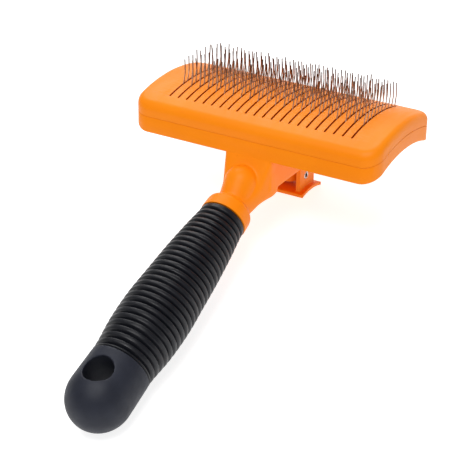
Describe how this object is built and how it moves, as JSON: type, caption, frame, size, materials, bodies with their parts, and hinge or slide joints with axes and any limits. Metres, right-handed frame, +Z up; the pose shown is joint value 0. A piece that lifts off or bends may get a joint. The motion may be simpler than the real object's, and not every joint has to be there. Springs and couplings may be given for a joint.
{
  "type": "slicker brush",
  "caption": "Self-cleaning pet slicker brush: arched head of bent wire pins, face plate lifted along them by a sprung thumb button, ribbed rubber handle with a hang hole.",
  "frame": {"origin": "middle of the brush's footprint, on the surface it rests on, lying on its back on the thumb button's rear edge and the end of the handle", "axes": "+Z up, +X along the head's long side, +Y from the handle to the head; the pins and the press direction lean 14.6 degrees from +Z towards +Y"},
  "size_m": [0.1184, 0.1966, 0.0655],
  "materials": {
    "orange_plastic": "satin moulded orange",
    "grip_rubber": "soft matte black, ribbed",
    "carrier_plastic": "matte moulded brown-orange",
    "backing_rubber": "matte sheet",
    "pin_wire": "drawn wire",
    "bright_steel": "bright plated"
  },
  "bodies": {
    "brush": {"back_shell": "orange_plastic", "rubber_grip": "grip_rubber", "pin_carrier": "carrier_plastic", "pin_backing": "backing_rubber", "pin_column_01": "pin_wire", "pin_column_02": "pin_wire", "pin_column_03": "pin_wire", "pin_column_04": "pin_wire", "pin_column_05": "pin_wire", "pin_column_06": "pin_wire", "pin_column_07": "pin_wire", "pin_column_08": "pin_wire", "pin_column_09": "pin_wire", "pin_column_10": "pin_wire", "pin_column_11": "pin_wire", "pin_column_12": "pin_wire", "pin_column_13": "pin_wire", "pin_column_14": "pin_wire", "pin_column_15": "pin_wire", "pin_column_16": "pin_wire", "pin_column_17": "pin_wire", "pin_column_18": "pin_wire", "pin_column_19": "pin_wire", "pin_column_20": "pin_wire", "pin_column_21": "pin_wire", "pin_column_22": "pin_wire", "carrier_screw_1": "bright_steel", "carrier_screw_2": "bright_steel", "carrier_screw_3": "bright_steel", "carrier_screw_4": "bright_steel", "cover_screw_1": "bright_steel", "cover_screw_2": "bright_steel", "cover_screw_3": "bright_steel", "cover_screw_4": "bright_steel", "housing_cover": "orange_plastic", "return_spring": "bright_steel"},
    "presser": {"face_plate": "orange_plastic", "lifter": "orange_plastic", "thumb_button": "orange_plastic", "cross_pin": "bright_steel"}
  },
  "joints": [
    {"name": "press_slide", "type": "slide", "parent": "brush", "child": "presser", "axis": [0, 0.2516, 0.9678], "range_m": [0, 0.01], "stiffness_N_per_m": 500, "springref_m": -0.008, "deforming": ["return_spring"]}
  ]
}
